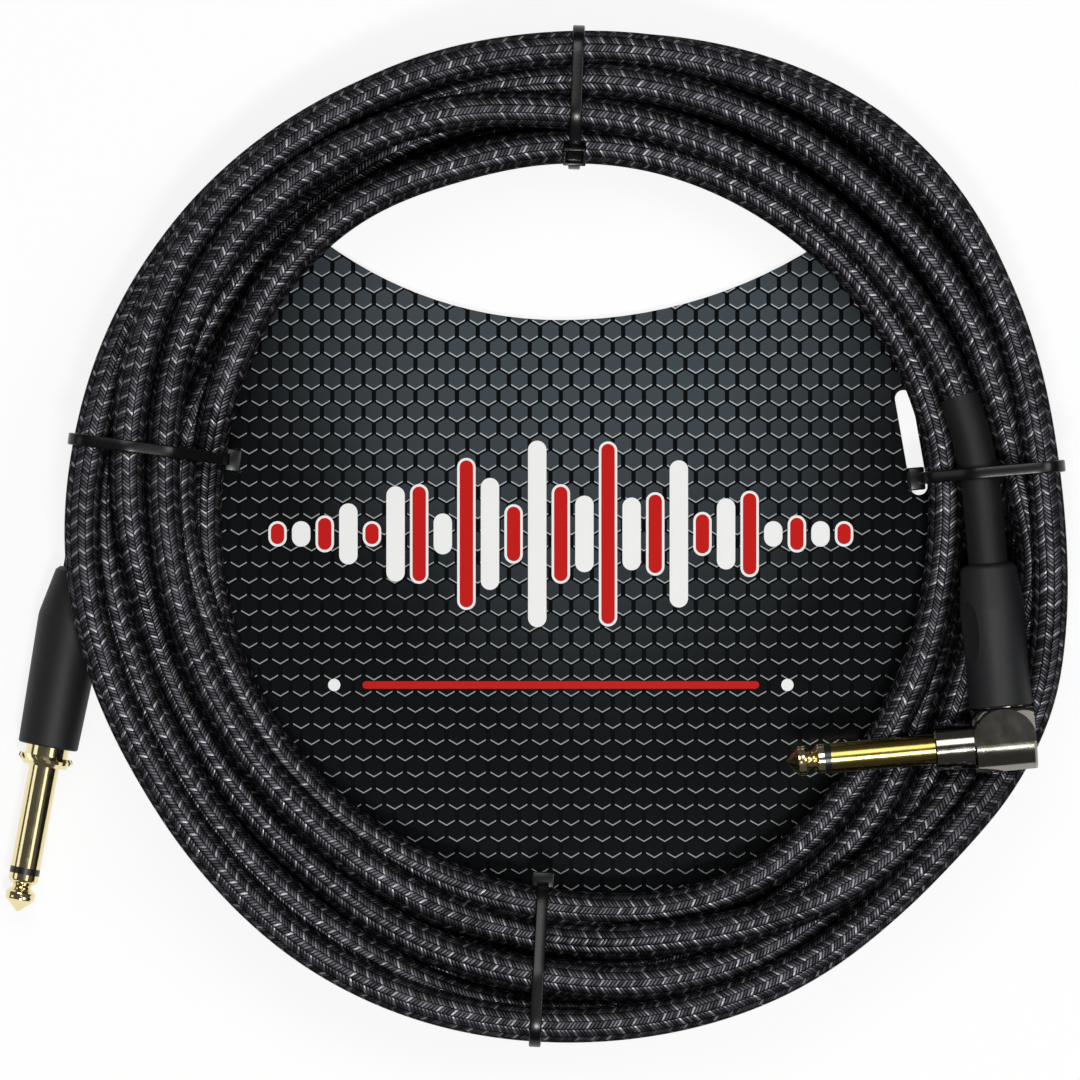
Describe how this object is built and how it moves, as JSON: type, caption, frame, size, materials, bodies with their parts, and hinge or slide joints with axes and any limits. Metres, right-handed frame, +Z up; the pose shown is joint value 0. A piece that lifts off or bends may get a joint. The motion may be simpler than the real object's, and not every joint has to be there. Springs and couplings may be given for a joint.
{
  "type": "instrument cable",
  "caption": "Coiled woven instrument cable with a straight and a right-angle quarter-inch plug, each with a screw-on casing, tied to a round display card.",
  "frame": {"origin": "middle of the whole bundle's box, on the surface that it lies on", "axes": "+Z up out of the flat coil, +Y towards the scooped upper edge of the card, +X across the coil from the straight plug to the angled plug"},
  "size_m": [0.2242, 0.2162, 0.0296],
  "materials": {
    "braided_cord": "matte",
    "gold_plate": "polished",
    "nickel_plate": "polished",
    "black_ring": "satin",
    "white_nylon": "satin",
    "soft_touch": "matte",
    "shrink_tube": "matte",
    "printed_card": "satin",
    "tie_nylon": "gloss"
  },
  "bodies": {
    "root": {"coil_bundle": "braided_cord", "straight_lead": "braided_cord", "angled_lead": "braided_cord", "straight_tip": "gold_plate", "straight_tip_ring": "black_ring", "straight_sleeve": "gold_plate", "straight_insulator": "white_nylon", "straight_collar": "gold_plate", "straight_ground_tag": "nickel_plate", "straight_washer": "white_nylon", "straight_tip_tag": "gold_plate", "straight_signal_core": "white_nylon", "straight_shield_braid": "nickel_plate", "angled_tip": "gold_plate", "angled_tip_ring": "black_ring", "angled_sleeve": "gold_plate", "angled_insulator": "white_nylon", "angled_collar": "nickel_plate", "angled_housing": "nickel_plate", "angled_tip_tag": "gold_plate", "angled_signal_core": "white_nylon", "angled_shield_braid": "nickel_plate", "angled_heat_shrink": "shrink_tube", "display_card": "printed_card", "tie_top": "tie_nylon", "tie_right": "tie_nylon", "tie_bottom": "tie_nylon", "tie_left": "tie_nylon"},
    "straight_chuck": {"straight_chuck": "white_nylon"},
    "straight_shell": {"straight_shell": "soft_touch"},
    "angled_chuck": {"angled_chuck": "white_nylon"},
    "angled_boot": {"angled_boot": "soft_touch"}
  },
  "joints": [
    {"name": "straight_unscrew_travel", "type": "slide", "parent": "root", "child": "straight_chuck", "axis": [0.1822, 0.9833, 0], "range_m": [0, 0.0048]},
    {"name": "straight_unscrew", "type": "hinge", "parent": "straight_chuck", "child": "straight_shell", "pos_m": [-0.10384, -0.04752, 0.00705], "axis": [0.1822, 0.9833, 0], "range_deg": [0, 2160]},
    {"name": "angled_unscrew_travel", "type": "slide", "parent": "root", "child": "angled_chuck", "axis": [-0.0889, 0.996, 0], "range_m": [0, 0.0048]},
    {"name": "angled_unscrew", "type": "hinge", "parent": "angled_chuck", "child": "angled_boot", "pos_m": [0.09809, -0.04227, 0.0228], "axis": [-0.0889, 0.996, 0], "range_deg": [0, 2160]}
  ],
  "couplings": [
    {"joint": "straight_unscrew_travel", "follows": "straight_unscrew", "m_per_rad": 0.00012732},
    {"joint": "angled_unscrew_travel", "follows": "angled_unscrew", "m_per_rad": 0.00012732}
  ]
}
